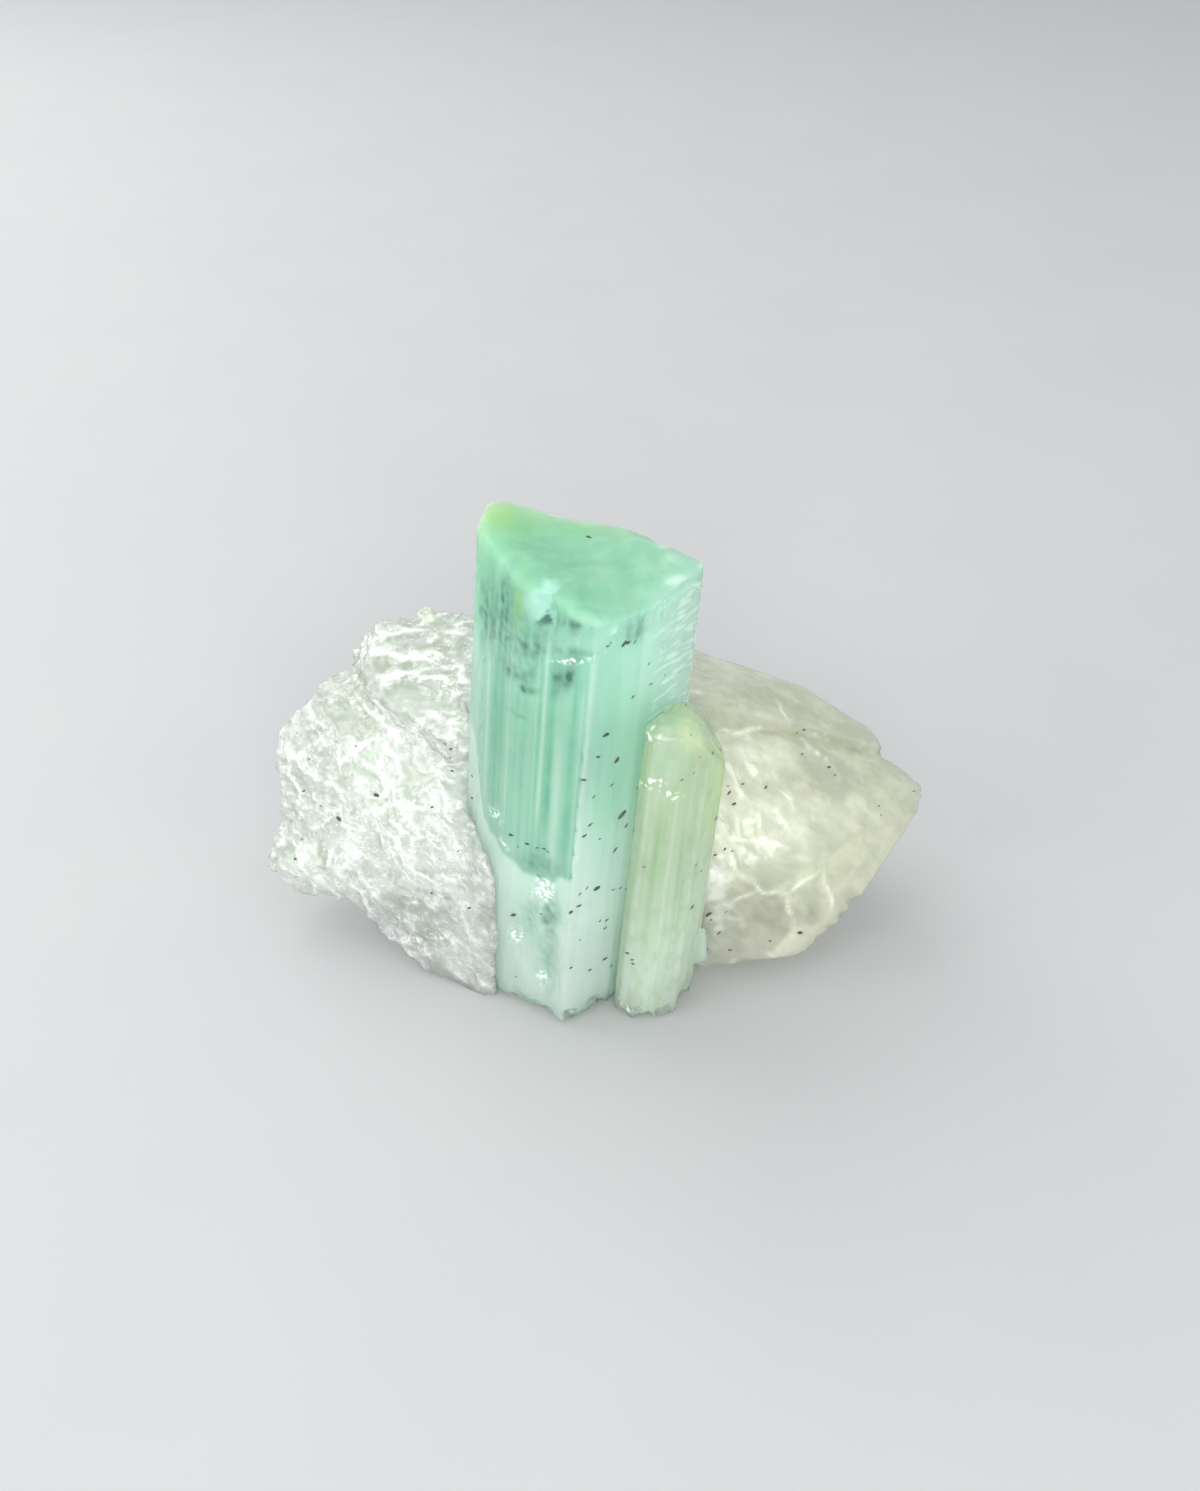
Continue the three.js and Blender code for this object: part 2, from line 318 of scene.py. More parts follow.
SKIN_LIFT = 0.09  # of the prisms' skins over their smoothed solids, in millimetres
FOOT_LIFT = 1.1  # of the deepest bites in the broken feet
FOOT_TOP = 2.2  # height at which the bites end


def prism_frame(node, points):
    """Points in a prism's own directions: across from its left edge, back from its front edge, and up."""
    low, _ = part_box(node)
    across = points[:, 0] - LEAN * points[:, 2] - low.x / MM
    back = points[:, 1] - low.y / MM
    return np.column_stack([across, back, points[:, 2]])


def along(own, stretch):
    """Prism points with their height squeezed, so that noise runs in long upright streaks."""
    return own * np.array([1, 1, 1 / stretch])


def foot_notches(own, seed):
    """How far the broken foot of a prism is lifted off the floor at each point."""
    level = own * np.array([1, 1, 0])
    bites = np.clip(0.05 + noise(level, 1.5, seed) + 0.5 * noise(level, 0.7, seed + 1), 0, 0.8)
    return FOOT_LIFT * bites * (1 - step(0.2, FOOT_TOP, own[:, 2]))


def lines_on(own, lines):
    """Sum of upright lines: place across, half width, strength, lowest and highest end."""
    total = np.zeros(len(own))
    for across, width, strength, low, high in lines:
        span = step(low - 1.5, low + 1.5, own[:, 2]) * (1 - step(high - 1.5, high + 1.5, own[:, 2]))
        total += strength * span * np.exp(-(((own[:, 0] - across) / width) ** 2))
    return total


def spots_on(own, spots):
    """Sum of soft oval spots on the front: place across and up, half width and height, slant, strength."""
    total = np.zeros(len(own))
    for across, up, wide, tall, slant, strength in spots:
        dx = own[:, 0] - across
        dz = own[:, 2] - up - slant * dx
        total += strength * np.exp(-((dx / wide) ** 2 + (dz / tall) ** 2))
    return total


LARGE_LINES = [
    (0.35, 0.45, 0.8, 12, 30),
    (1.25, 0.13, 1.3, 15, 31),
    (1.75, 0.30, -0.6, 16, 28),
    (3.2, 0.70, -0.35, 14, 27),
    (4.35, 0.09, 0.9, 15, 31),
    (4.80, 0.13, 1.3, 17, 31),
    (5.35, 0.25, -1.1, 17, 29),
    (5.95, 0.30, 1.1, 14, 24),
    (6.60, 0.26, -0.9, 15, 30),
    (7.05, 0.09, 0.7, 8, 28),
    (7.25, 0.05, -1.2, 9, 24),
    (7.46, 0.17, 1.6, 0, 31),
    (9.2, 0.70, -0.25, 16, 31),
    (10.45, 0.30, 0.9, 4, 32),
]
# Dark smoky wisps inside, given as spots; the last is a broad spot of painted shade.
LARGE_SMOKE_AND_SHADE = [
    (2.9, 27.5, 1.0, 0.55, 0.15, 0.9),
    (3.6, 26.7, 0.7, 0.25, 0.1, 0.8),
    (5.8, 28.4, 0.5, 0.9, 0.5, 1.0),
    (6.0, 32.2, 0.9, 0.45, 0.1, 0.9),
    (6.4, 30.4, 0.9, 0.4, 0.3, 0.5),
    (9.6, 31.6, 0.8, 1.0, -0.2, 0.6),
    (3.1, 24.6, 0.6, 0.15, 0, 0.6),
    (2.0, 31.2, 0.25, 1.6, 0, 0.5),
    (0.9, 30.0, 0.3, 2.0, 0, 0.5),
    (5.6, 9.3, 1.3, 1.8, 0.9, 0.55),
    (5.2, 13.6, 1.5, 0.8, 0.3, 0.45),
    (6.3, 5.5, 0.7, 4.5, 0, 0.3),
    (3.4, 29.6, 1.2, 0.7, 0.3, 0.45),
    (1.5, 28.8, 0.7, 1.3, 0, 0.4),
    (2.2, 33.0, 0.5, 1.0, 0.4, 0.4),
    # Painted shade: a broad dark spot over the upper left of the left face.
    (3.0, 30.6, 3.0, 2.5, 0, 0.42),
]
LARGE_GLINTS = [
    (5.6, 11.4, 0.5, 0.7, 0.6, 1.0),
    (5.4, 12.3, 0.3, 0.15, 0.3, 1.0),
    (2.1, 15.5, 0.4, 0.4, 0, 0.8),
    (2.7, 13.9, 0.3, 0.2, -0.5, 1.0),
    (5.9, 3.3, 0.3, 0.4, 0, 1.0),
    (3.9, 6.2, 0.4, 0.5, 0, 0.8),
    (6.4, 29.9, 0.9, 0.15, 0.5, 0.9),
    (8.4, 32.0, 0.12, 0.2, 0, 0.8),
]
ARC_ACROSS = [0, 0.4, 0.8, 1.3, 2.2, 3.2, 4.9, 6.8, 7.4]
ARC_HEIGHT = [21, 20.4, 17.6, 14.1, 13.5, 12.8, 12.3, 13.2, 13.4]  # where the teal of the left face ends
FRONT_EDGE = 7.25  # place across of the edge between the left and the front face
GREEN_ACROSS = [0, 2, 4, 7, 10, 14]
GREEN_HEIGHT = [27.5, 29.5, 31, 32, 32.4, 32.6]  # where the green of the top begins
YELLOW_STREAK = [(2.9, 32.3, 0.35, 1.5, 0, 0.8)]
CHIP = (4.4, 2.6, 32.5)
CHIP_SIZE = (1.15, 1.7, 1.25)
CHIP_FACETS = 16
CHIP_SEED = 3


def chip_facets(own):
    """Small flat breaks in the chip: depth of each place, and tone of its facet between 0 and 1."""
    rng = np.random.default_rng(CHIP_SEED)
    middles = np.array(CHIP) + rng.uniform(-1, 1, (CHIP_FACETS, 3)) * CHIP_SIZE
    tilts = rng.normal(0, 0.22, (CHIP_FACETS, 3))
    tones = rng.uniform(0, 1, CHIP_FACETS)
    pick = np.linalg.norm(own[:, None] - middles, axis=2).argmin(axis=1)
    return np.einsum("ij,ij->i", own - middles[pick], tilts[pick]), tones[pick]


def dress_large():
    piece = skin_of("large_tourmaline", "large_prism", LARGE_VOXEL)
    mesh = piece.data
    points = points_of(mesh)
    own = prism_frame("large_tourmaline", points)
    across, back, up = own.T
    chip = np.exp(-(((own - CHIP) / CHIP_SIZE) ** 2).sum(axis=1))
    worn = step(22, 31.5, up + 2.0 * noise(along(own, 3), 1.6, 12))
    points = relax(mesh, points, 0.6 * worn * (1 - step(0.3, 0.6, chip)), 22)
    points = relax(mesh, points, 0.6 * (1 - step(12, 15, up)) * (1 - step(6.9, 7.3, across)), 30)
    place(mesh, points)
    normal = normals_of(mesh)
    side = 1 - step(0.35, 0.75, np.abs(normal[:, 2]))
    left_face = step(0.1, -0.1, normal[:, 0])
    right_face = step(10.6, 11.6, across)
    striae = 0.035 * noise(along(own, 25), 1.0, 1) + 0.025 * noise(along(own, 25), 0.42, 2)
    flutes = 0.05 * crests(along(own, 40), 1.7, 3, 1)
    feathers = 0.05 * right_face * step(24, 28, up) * crests(own * (0.5, 0.5, 1.7), 1.6, 6)
    broken = 0.16 * noise(points, 2.4, 4) + 0.04 * noise(points, 0.8, 5)
    wear = 0.05 * noise(points, 0.9, 7) * step(26, 33, up)
    depth, tone = chip_facets(own)
    facets = step(0.3, 0.7, chip) * (0.1 + np.clip(depth, -0.2, 0.2))
    ragged = 0.9 * (1 - step(0.1, 1.8, up)) * np.clip(0.15 + noise(points, 1.0, 14), 0, 1)
    raise_by = SKIN_LIFT + side * (striae + flutes + feathers + wear - ragged) + (1 - side) * broken - facets
    points = points + normal * raise_by[:, None]
    points[:, 2] = np.maximum(points[:, 2], 0) + foot_notches(own, 15)
    place(mesh, points)

    grain = noise(along(own, 30), 0.5, 8)
    bands = noise(along(own, 18), 1.5, 9)
    streak = lines_on(own, LARGE_LINES) + (0.25 + 0.2 * left_face) * grain + 0.3 * bands
    arc = np.interp(across, ARC_ACROSS, ARC_HEIGHT)
    below = 1 - step(-0.35, 0.35, up - arc + 0.35 * noise(points, 1.1, 10))
    fading = 1 - step(10, 23, up + 1.5 * bands)
    pale = np.where(across < FRONT_EDGE, below, fading)
    green_from = np.interp(across, GREEN_ACROSS, GREEN_HEIGHT)
    green = step(-1.8, 1.8, up - green_from + 1.0 * noise(along(own, 2), 1.2, 11) + 0.5 * grain)
    corner = np.exp(-(((across - 0.9) / 1.5) ** 2 + ((back - 9.2) / 2.0) ** 2 + ((up - 35) / 1.8) ** 2))
    rim = step(31.5, 34, up) * step(7.2, 10.6, back + 0.8 * noise(points, 1.7, 13))
    streaked = spots_on(own, YELLOW_STREAK)
    # Dark wisps, together with the painted shade of the broad spot.
    smoke_and_shade = spots_on(own + 0.35 * noise(points, 0.9, 16)[:, None], LARGE_SMOKE_AND_SHADE)
    smoke_and_shade = smoke_and_shade * (0.65 + 0.5 * grain + 0.35 * noise(points, 0.45, 17)) * (back < 7)
    glint = spots_on(own, LARGE_GLINTS) * step(0.05, 0.35, noise(own * (1, 1, 1.4), 0.27, 18)) * (back < 6)
    broken_face = step(0.25, 0.6, chip + 0.15 * noise(own, 0.6, 19))
    streaming = right_face * step(18, 26, up) * step(0.1, 0.6, noise(own * (0.4, 0.4, 2.2), 0.55, 20))
    store(mesh, "streak", 0.5 + 0.42 * streak)
    store(mesh, "pale", pale)
    store(mesh, "green", green)
    store(mesh, "yellow", corner + 0.5 * rim + streaked)
    store(mesh, "chip", broken_face * step(0.35, 0.65, tone))
    store(mesh, "smoke_and_shade", 1.25 * smoke_and_shade + 0.6 * broken_face * step(0.3, 0.1, tone))
    store(mesh, "glint", 1.4 * glint + 0.2 * streaming)
    # Painted light: the right face is painted lighter from 2 mm up, where the small prism shades it.
    store(mesh, "bright", right_face * step(2, 12, up))
    store(mesh, "rear", step(5.5, 7.5, back) * side)
    store(mesh, "top", step(0.12, 0.4, normal[:, 2]) * step(26, 29, up))
    # Painted light: the front face is painted lighter, against the shade of the small prism and the floor.
    store(mesh, "front", step(7.3, 7.7, across) * (1 - step(0.3, 0.7, normal[:, 2])) * (back < 6))
    return piece


SMALL_LINES = [
    (0.6, 0.15, 0.7, 1, 22),
    (1.5, 0.25, -0.5, 4, 18),
    (2.3, 0.12, 0.6, 2, 21),
    (3.1, 0.16, -0.6, 3, 16),
    (3.45, 0.07, -0.8, 7, 13),
    (3.9, 0.14, 0.8, 0, 20),
    (4.6, 0.20, 0.6, 0, 20),
]
SMALL_GLINTS = [
    (0.6, 20.6, 0.7, 0.3, 0.7, 1.0),
    (1.9, 20.2, 0.5, 0.25, -0.5, 1.0),
    (0.4, 24.0, 0.4, 0.4, 0, 0.6),
]
SMALL_CAP = [(2.9, 24.0, 1.3, 0.9, -0.5, 1.0)]
SMALL_CLEAR = [(1.5, 22.4, 0.9, 1.2, 0.2, 1.0)]


def dress_small():
    piece = skin_of("small_tourmaline", "small_prism", SMALL_VOXEL)
    mesh = piece.data
    points = points_of(mesh)
    own = prism_frame("small_tourmaline", points)
    across, back, up = own.T
    points = relax(mesh, points, 0.5 * step(19, 22.5, up), 14)
    place(mesh, points)
    normal = normals_of(mesh)
    side = 1 - step(0.4, 0.8, np.abs(normal[:, 2]))
    striae = 0.03 * noise(along(own, 22), 0.8, 21) + 0.02 * noise(along(own, 22), 0.35, 22)
    broken = 0.12 * noise(points, 1.2, 23) + 0.05 * noise(points, 0.5, 24)
    ragged = 0.8 * (1 - step(0.1, 1.6, up)) * np.clip(0.15 + noise(points, 0.9, 28), 0, 1)
    raise_by = SKIN_LIFT + side * (striae - ragged) + (1 - side) * broken
    points = points + normal * raise_by[:, None]
    points[:, 2] = np.maximum(points[:, 2], 0) + foot_notches(own, 20)
    place(mesh, points)

    grain = noise(along(own, 25), 0.45, 25)
    streak = lines_on(own, SMALL_LINES) + 0.25 * grain + 0.3 * noise(along(own, 14), 1.3, 26)
    rim = step(3.6, 5.4, across + 0.4 * noise(points, 1.0, 27)) * step(12, 19, up)
    cap = spots_on(own, SMALL_CAP)
    store(mesh, "streak", 0.5 + 0.7 * streak)
    store(mesh, "rim", rim + 0.9 * cap)
    store(mesh, "rear", step(2.5, 3.5, back) * side)
    store(mesh, "pale", 1 - step(1, 13, up - 1.2 * across))
    store(mesh, "clear", spots_on(own, SMALL_CLEAR))
    store(mesh, "glint", 1.3 * spots_on(own, SMALL_GLINTS) * step(0.05, 0.4, noise(own, 0.35, 29)))
    store(mesh, "splinter", step(5.6, 5.9, across) * step(2.6, 3.4, up) * (1 - step(5.6, 6.4, up)))
    return piece


# Quartz: paths and patches in pixels of the photograph

WHITE_FOLDS = [
    [(366, 654), (401, 656), (436, 654), (471, 653)],
    [(377, 678), (401, 675), (424, 672), (436, 669)],
    [(388, 626), (413, 629), (430, 635), (448, 640)],
    [(363, 648), (377, 637), (398, 629)],
    [(351, 688), (363, 706), (376, 717), (401, 741), (421, 756)],
    [(368, 694), (386, 711), (401, 723), (433, 741)],
    [(355, 755), (371, 767), (386, 779), (398, 791)],
    [(376, 738), (385, 747), (396, 763), (404, 779)],
    [(377, 735), (363, 744), (354, 753)],
    [(383, 753), (380, 764), (386, 766)],
    [(355, 838), (367, 853), (379, 863)],
    [(361, 872), (373, 890), (381, 902)],
    [(451, 965), (470, 984)],
    [(368, 641), (386, 631), (399, 630)],
    [(354, 653), (374, 651), (388, 652)],
    [(362, 687), (377, 702), (397, 717), (408, 729), (423, 743)],
    [(376, 739), (383, 746), (392, 757), (400, 769), (405, 780)],
    [(311, 708), (320, 723), (334, 740)],
    [(423, 716), (446, 716)],
]
DARK_CRACKS = [
    [(350, 694), (361, 710)],
    [(368, 725), (377, 735)],
    [(401, 725), (418, 739), (436, 753), (449, 755)],
    [(407, 742), (424, 758)],
    [(371, 638), (398, 631)],
    [(381, 905), (392, 918), (413, 933), (442, 954)],
    [(390, 922), (413, 938)],
    [(390, 890), (398, 896), (419, 902)],
    [(329, 867), (344, 887)],
    [(786, 721), (805, 731), (822, 734), (834, 742), (854, 750), (892, 753)],
]
WHITE_VEINS = [
    [(763, 807), (776, 812), (786, 823), (792, 831)],
    [(733, 839), (751, 841), (765, 839), (784, 849)],
    [(759, 812), (760, 831)],
    [(746, 820), (755, 819)],
    [(727, 849), (736, 866), (749, 882)],
    [(749, 882), (768, 892), (786, 895)],
    [(786, 895), (802, 881), (818, 871)],
    [(822, 873), (829, 890), (833, 909)],
    [(786, 895), (790, 909), (795, 928)],
    [(759, 889), (744, 896), (733, 903)],
    [(746, 852), (757, 858), (754, 865)],
    [(717, 733), (740, 730), (760, 726)],
    [(775, 700), (783, 712), (790, 724)],
    [(800, 738), (815, 752), (832, 765)],
]
CLEAR_WINDOWS = [
    [(376, 642), (392, 636), (412, 635), (440, 641), (431, 650), (406, 653), (377, 649)],
    [(362, 656), (386, 660), (414, 668), (377, 677), (376, 683), (365, 685), (353, 679)],
    [(376, 690), (408, 682), (417, 683), (432, 699), (454, 700),
     (448, 708), (423, 720), (405, 720), (386, 705)],
    [(322, 705), (347, 702), (362, 717), (368, 729), (362, 743), (343, 740), (328, 729)],
    [(374, 739), (383, 746), (380, 760), (368, 763), (357, 755), (363, 746)],
    [(389, 757), (402, 757), (425, 762), (440, 778), (432, 788), (405, 781), (399, 771)],
    [(347, 763), (362, 762), (377, 775), (374, 784), (356, 777), (342, 772)],
    [(383, 898), (400, 900), (424, 912), (420, 918), (398, 914)],
    [(428, 958), (446, 956), (456, 976), (446, 986), (432, 976)],
    [(727, 748), (737, 738), (770, 736), (774, 748), (757, 766), (735, 766)],
    [(800, 705), (812, 705), (825, 721), (806, 717)],
    [(835, 726), (853, 723), (874, 740), (853, 748), (833, 738)],
    [(741, 695), (768, 689), (780, 703), (757, 705), (745, 703)],
    [(780, 777), (788, 764), (798, 777), (792, 789), (780, 791)],
    [(743, 787), (761, 775), (774, 777), (778, 791), (772, 801), (755, 795)],
    [(735, 823), (761, 813), (780, 813), (790, 828), (772, 832), (751, 836), (733, 832)],
    [(741, 854), (751, 856), (788, 854), (812, 860), (788, 877), (751, 879), (737, 866)],
    [(751, 903), (788, 899), (792, 932), (776, 936), (747, 930)],
    [(794, 885), (819, 877), (825, 905), (829, 926), (804, 932), (794, 913)],
    [(829, 791), (845, 791), (841, 805), (831, 805)],
    [(812, 777), (825, 775), (823, 787), (810, 787)],
]
WHITE_PATCHES = [
    [(706, 868), (722, 864), (728, 876), (722, 896), (708, 898)],
    [(712, 908), (730, 904), (734, 918), (716, 926)],
]
FOLD_WIDTH = 0.16
CRACK_WIDTH = 0.16
VEIN_WIDTH = 0.17
WINDOW_SOFT = 8  # softness of the edges, in pixels
PATCH_SOFT = 9
EDGE_BITES = [(855, 903), (847, 919), (836, 933), (888, 751), (823, 944)]
BITE_SIZE = 7  # in pixels
BITE_DEPTH = 0.5
BUD = (-11.6, 5.6)  # x and y of the green bud on the upper edge
ROUGH_END = -12  # the crumpled skin is full to the left of this
SMOOTH_END = 14  # and faint to the right of this
FOLD_RUN = (0.72, 0.1, -0.68)  # the creases of the left side run along this
FOLD_TILT = math.atan2(-0.72, 0.68)
CREST_TILT = math.radians(-86)  # those of the left side's upper edge run almost level
# Direction of the painted light on the quartz creases: they are painted lighter on the side facing it and
# darker on the other.
RELIEF_LIGHT = (-0.45, -0.35, 0.82)  # the way to the light that picks out the creases


def creased(points, stretch):
    """Points squeezed along the creases and bent, so that noise makes long wavy folds."""
    run = np.array(FOLD_RUN) / np.linalg.norm(FOLD_RUN)
    reach = points @ run
    bent = points - np.outer(reach * (1 - 1 / stretch), run)
    return bent + 0.5 * np.column_stack([noise(points, 2.6, 30 + k) for k in range(3)])


def dress_quartz():
    piece = skin_of("quartz", "quartz_crystal", QUARTZ_VOXEL)
    mesh = piece.data
    tree = tree_of(piece)
    points = points_of(mesh)
    normal = normals_of(mesh)
    x, z = points[:, 0], points[:, 2]
    rough = 1 - 0.8 * step(ROUGH_END, SMOOTH_END, x)
    bud = 1 - step(0.5, 1.3, np.linalg.norm(points - (*BUD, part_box("quartz")[1].z / MM), axis=1))
    folds = lines_near(points, tree, WHITE_FOLDS, FOLD_WIDTH)
    cracks = lines_near(points, tree, DARK_CRACKS, CRACK_WIDTH)
    veins = lines_near(points, tree, WHITE_VEINS, VEIN_WIDTH)
    window = areas_on(points, normal, CLEAR_WINDOWS, WINDOW_SOFT, 60)
    patch = areas_on(points, normal, WHITE_PATCHES, PATCH_SOFT, 64)
    behind = step(0.2, 0.6, normal[:, 1]) * step(0.15, 0.5, noise(points, 3.2, 66))
    window = np.maximum(window, behind)
    crumple = crests(creased(points, 2.2), 1.7, 50, 3)
    crumbs = crests(points, 0.8, 55, 2)
    lumps = noise(points, 2.4, 36)
    bend = 1 - np.linalg.norm(relax(mesh, normal, np.ones(len(points)), 8), axis=1)
    edge = step(0.015, 0.09, bend)
    calm = 1 - 0.65 * window
    raise_by = rough * calm * (0.20 * (crumple - 0.4) + 0.09 * (crumbs - 0.4)) + 0.08 * rough * lumps
    raise_by += rough * edge * (1 - bud) * 0.34 * (crests(points, 1.3, 58, 2) - 0.45)
    pixels = pixels_of(points)
    for bite in EDGE_BITES:
        raise_by -= BITE_DEPTH * np.exp(-((pixels - bite) ** 2).sum(axis=1) / BITE_SIZE ** 2)
    raise_by += 0.12 * folds - 0.20 * cracks + 0.05 * veins + 0.12 * patch * crests(points, 0.7, 57, 1)
    points = points + normal * (raise_by * step(0.05, 0.6, z))[:, None]
    points[:, 2] = np.maximum(points[:, 2], 0)
    place(mesh, points)

    # Painted shade: how far the displaced creases turn away from RELIEF_LIGHT, kept as colour.
    painted_relief_shade = (normals_of(mesh) - normal) @ (np.array(RELIEF_LIGHT) / np.linalg.norm(RELIEF_LIGHT))
    cloudy = step(-0.6, 0.9, noise(points, 4.5, 40) + 0.5 * noise(points, 1.6, 41))
    crest = step(16, 19, z + 1.5 * noise(points, 3, 44)) * (x < 0)
    milk_and_painted_light = 0.66 - 0.25 * cloudy - 0.6 * window + 0.2 * rough * (crumple - 0.4) - 0.55 * crest
    warm = step(-6, 12, x + 2.5 * noise(points, 6, 42))
    # Painted light and shade: walls facing down are painted milkier and lighter, and warm walls facing up
    # are painted darker.
    milk_and_painted_light += (0.5 + 0.3 * warm) * step(0.45, -0.15, normal[:, 2]) - 0.2 * warm * step(0.2, 0.5, normal[:, 2])
    store(mesh, "milk_and_painted_light", milk_and_painted_light)
    store(mesh, "warm", warm)
    store(mesh, "lines", 0.85 * folds + 0.75 * veins + 0.6 * patch)
    store(mesh, "cracks", cracks)
    store(mesh, "rough", rough * calm)
    store(mesh, "painted_relief_shade", 0.5 + 0.9 * painted_relief_shade)
    store(mesh, "crest", crest)
    store(mesh, "bud", bud)
    return piece


# Materials

TOURMALINE_IOR = 1.63
QUARTZ_IOR = 1.544
PRISM_SCATTER = 0.008  # reach of light inside, in metres
QUARTZ_SCATTER = 0.005
QUARTZ_CLEAR = 0.66  # share of light let through between the bright creases
CREASES = 560  # lumps per metre
CRUMBS = 1500
MIX_COLOURS = (6, 7)  # sockets of a Mix node for colours, and the one they come out of
MIX_COLOUR_OUT = 2
MIX_VALUES = (2, 3)


class Tree:
    """Short ways to add nodes to one material."""

    def __init__(self, name):
        self.material = bpy.data.materials.new(name)
        self.material.use_nodes = True
        self.nodes = self.material.node_tree.nodes
        self.links = self.material.node_tree.links
        self.nodes.clear()
        self.output = self.nodes.new("ShaderNodeOutputMaterial")
        self.shader = self.nodes.new("ShaderNodeBsdfPrincipled")
        self.shader.inputs["Subsurface Radius"].default_value = (1, 1, 1)
        self.link(self.shader.outputs["BSDF"], self.output.inputs["Surface"])

    def link(self, source, target):
        self.links.new(source, target)

    def set(self, **values):
        for name, value in values.items():
            self.shader.inputs[name.replace("_", " ")].default_value = value

    def attribute(self, name, strength=1.0):
        node = self.nodes.new("ShaderNodeAttribute")
        node.attribute_name = name
        value = node.outputs["Fac"]
        return value if strength == 1 else self.math("MULTIPLY", value, strength)

    def mix(self, share, first, second):
        """A colour between two: each is a socket or a linear colour, and the share a socket or a number."""
        node = self.nodes.new("ShaderNodeMix")
        node.data_type = "RGBA"
        sockets = [node.inputs["Factor"]] + [node.inputs[i] for i in MIX_COLOURS]
        for value, socket in zip((share, first, second), sockets):
            if isinstance(value, bpy.types.NodeSocket):
                self.link(value, socket)
            elif isinstance(value, tuple):
                socket.default_value = (*value, 1)
            else:
                socket.default_value = value
        return node.outputs[MIX_COLOUR_OUT]

    def math(self, operation, first, second=0.0):
        node = self.nodes.new("ShaderNodeMath")
        node.operation = operation
        for value, socket in zip((first, second), node.inputs):
            if isinstance(value, bpy.types.NodeSocket):
                self.link(value, socket)
            else:
                socket.default_value = value
        return node.outputs[0]

    def blend(self, share, first, second):
        """A value between two values."""
        node = self.nodes.new("ShaderNodeMix")
        sockets = [node.inputs[0]] + [node.inputs[i] for i in MIX_VALUES]
        for value, socket in zip((share, first, second), sockets):
            self.link(value, socket)
        return node.outputs[0]

    def remap(self, value, low, high, to_low=0.0, to_high=1.0):
        node = self.nodes.new("ShaderNodeMapRange")
        self.link(value, node.inputs["Value"])
        ends = {"From Min": low, "From Max": high, "To Min": to_low, "To Max": to_high}
        for name, number in ends.items():
            node.inputs[name].default_value = number
        return node.outputs["Result"]

    def where(self, stretch=1.0, tilt=LEAN_ANGLE, shift=(0, 0, 0)):
        """Object coordinates, squeezed along an upright direction that tilts towards +X."""
        mapping = self.nodes.new("ShaderNodeMapping")
        mapping.vector_type = "TEXTURE"
        mapping.inputs["Location"].default_value = shift
        mapping.inputs["Rotation"].default_value = (0, tilt, 0)
        mapping.inputs["Scale"].default_value = (1, 1, stretch)
        self.link(self.nodes.new("ShaderNodeTexCoord").outputs["Object"], mapping.inputs["Vector"])
        return mapping.outputs["Vector"]

    def noise(self, scale, detail=3.0, where=None):
        """Smooth noise in lumps per metre."""
        node = self.nodes.new("ShaderNodeTexNoise")
        node.inputs["Scale"].default_value = scale
        node.inputs["Detail"].default_value = detail
        self.link(self.where() if where is None else where, node.inputs["Vector"])
        return node.outputs["Fac"]

    def web(self, scale, detail, where):
        """Branching crests in lumps per metre, from about 0.3 between them to 1.7 on them."""
        node = self.nodes.new("ShaderNodeTexNoise")
        node.noise_type = "RIDGED_MULTIFRACTAL"
        for name, value in (("Scale", scale), ("Detail", detail), ("Offset", 1.0), ("Gain", 1.6)):
            node.inputs[name].default_value = value
        self.link(where, node.inputs["Vector"])
        return node.outputs["Fac"]

    def lit_web(self, scale, detail, stretch, tilt, reach):
        """Crests, and how far each place on them faces the light: above 0 on their lit side."""
        toward = Vector(RELIEF_LIGHT).normalized() * reach
        here = self.web(scale, detail, self.where(stretch, tilt))
        beyond = self.web(scale, detail, self.where(stretch, tilt, tuple(-toward)))
        return here, self.math("SUBTRACT", here, beyond)

    def bump(self, height, depth, before=None):
        node = self.nodes.new("ShaderNodeBump")
        node.inputs["Distance"].default_value = depth
        self.link(height, node.inputs["Height"])
        if before is not None:
            self.link(before, node.inputs["Normal"])
        return node.outputs["Normal"]

    def see_through(self, share, **less):
        """Share of light let through, that each named attribute lowers."""
        for name, amount in less.items():
            share = self.math("SUBTRACT", share, self.attribute(name, amount))
        self.link(self.math("MAXIMUM", share, 0.1), self.shader.inputs["Transmission Weight"])

    def absorb(self, colour, density):
        node = self.nodes.new("ShaderNodeVolumeAbsorption")
        node.inputs["Color"].default_value = (*colour, 1)
        node.inputs["Density"].default_value = density
        self.link(node.outputs["Volume"], self.output.inputs["Volume"])


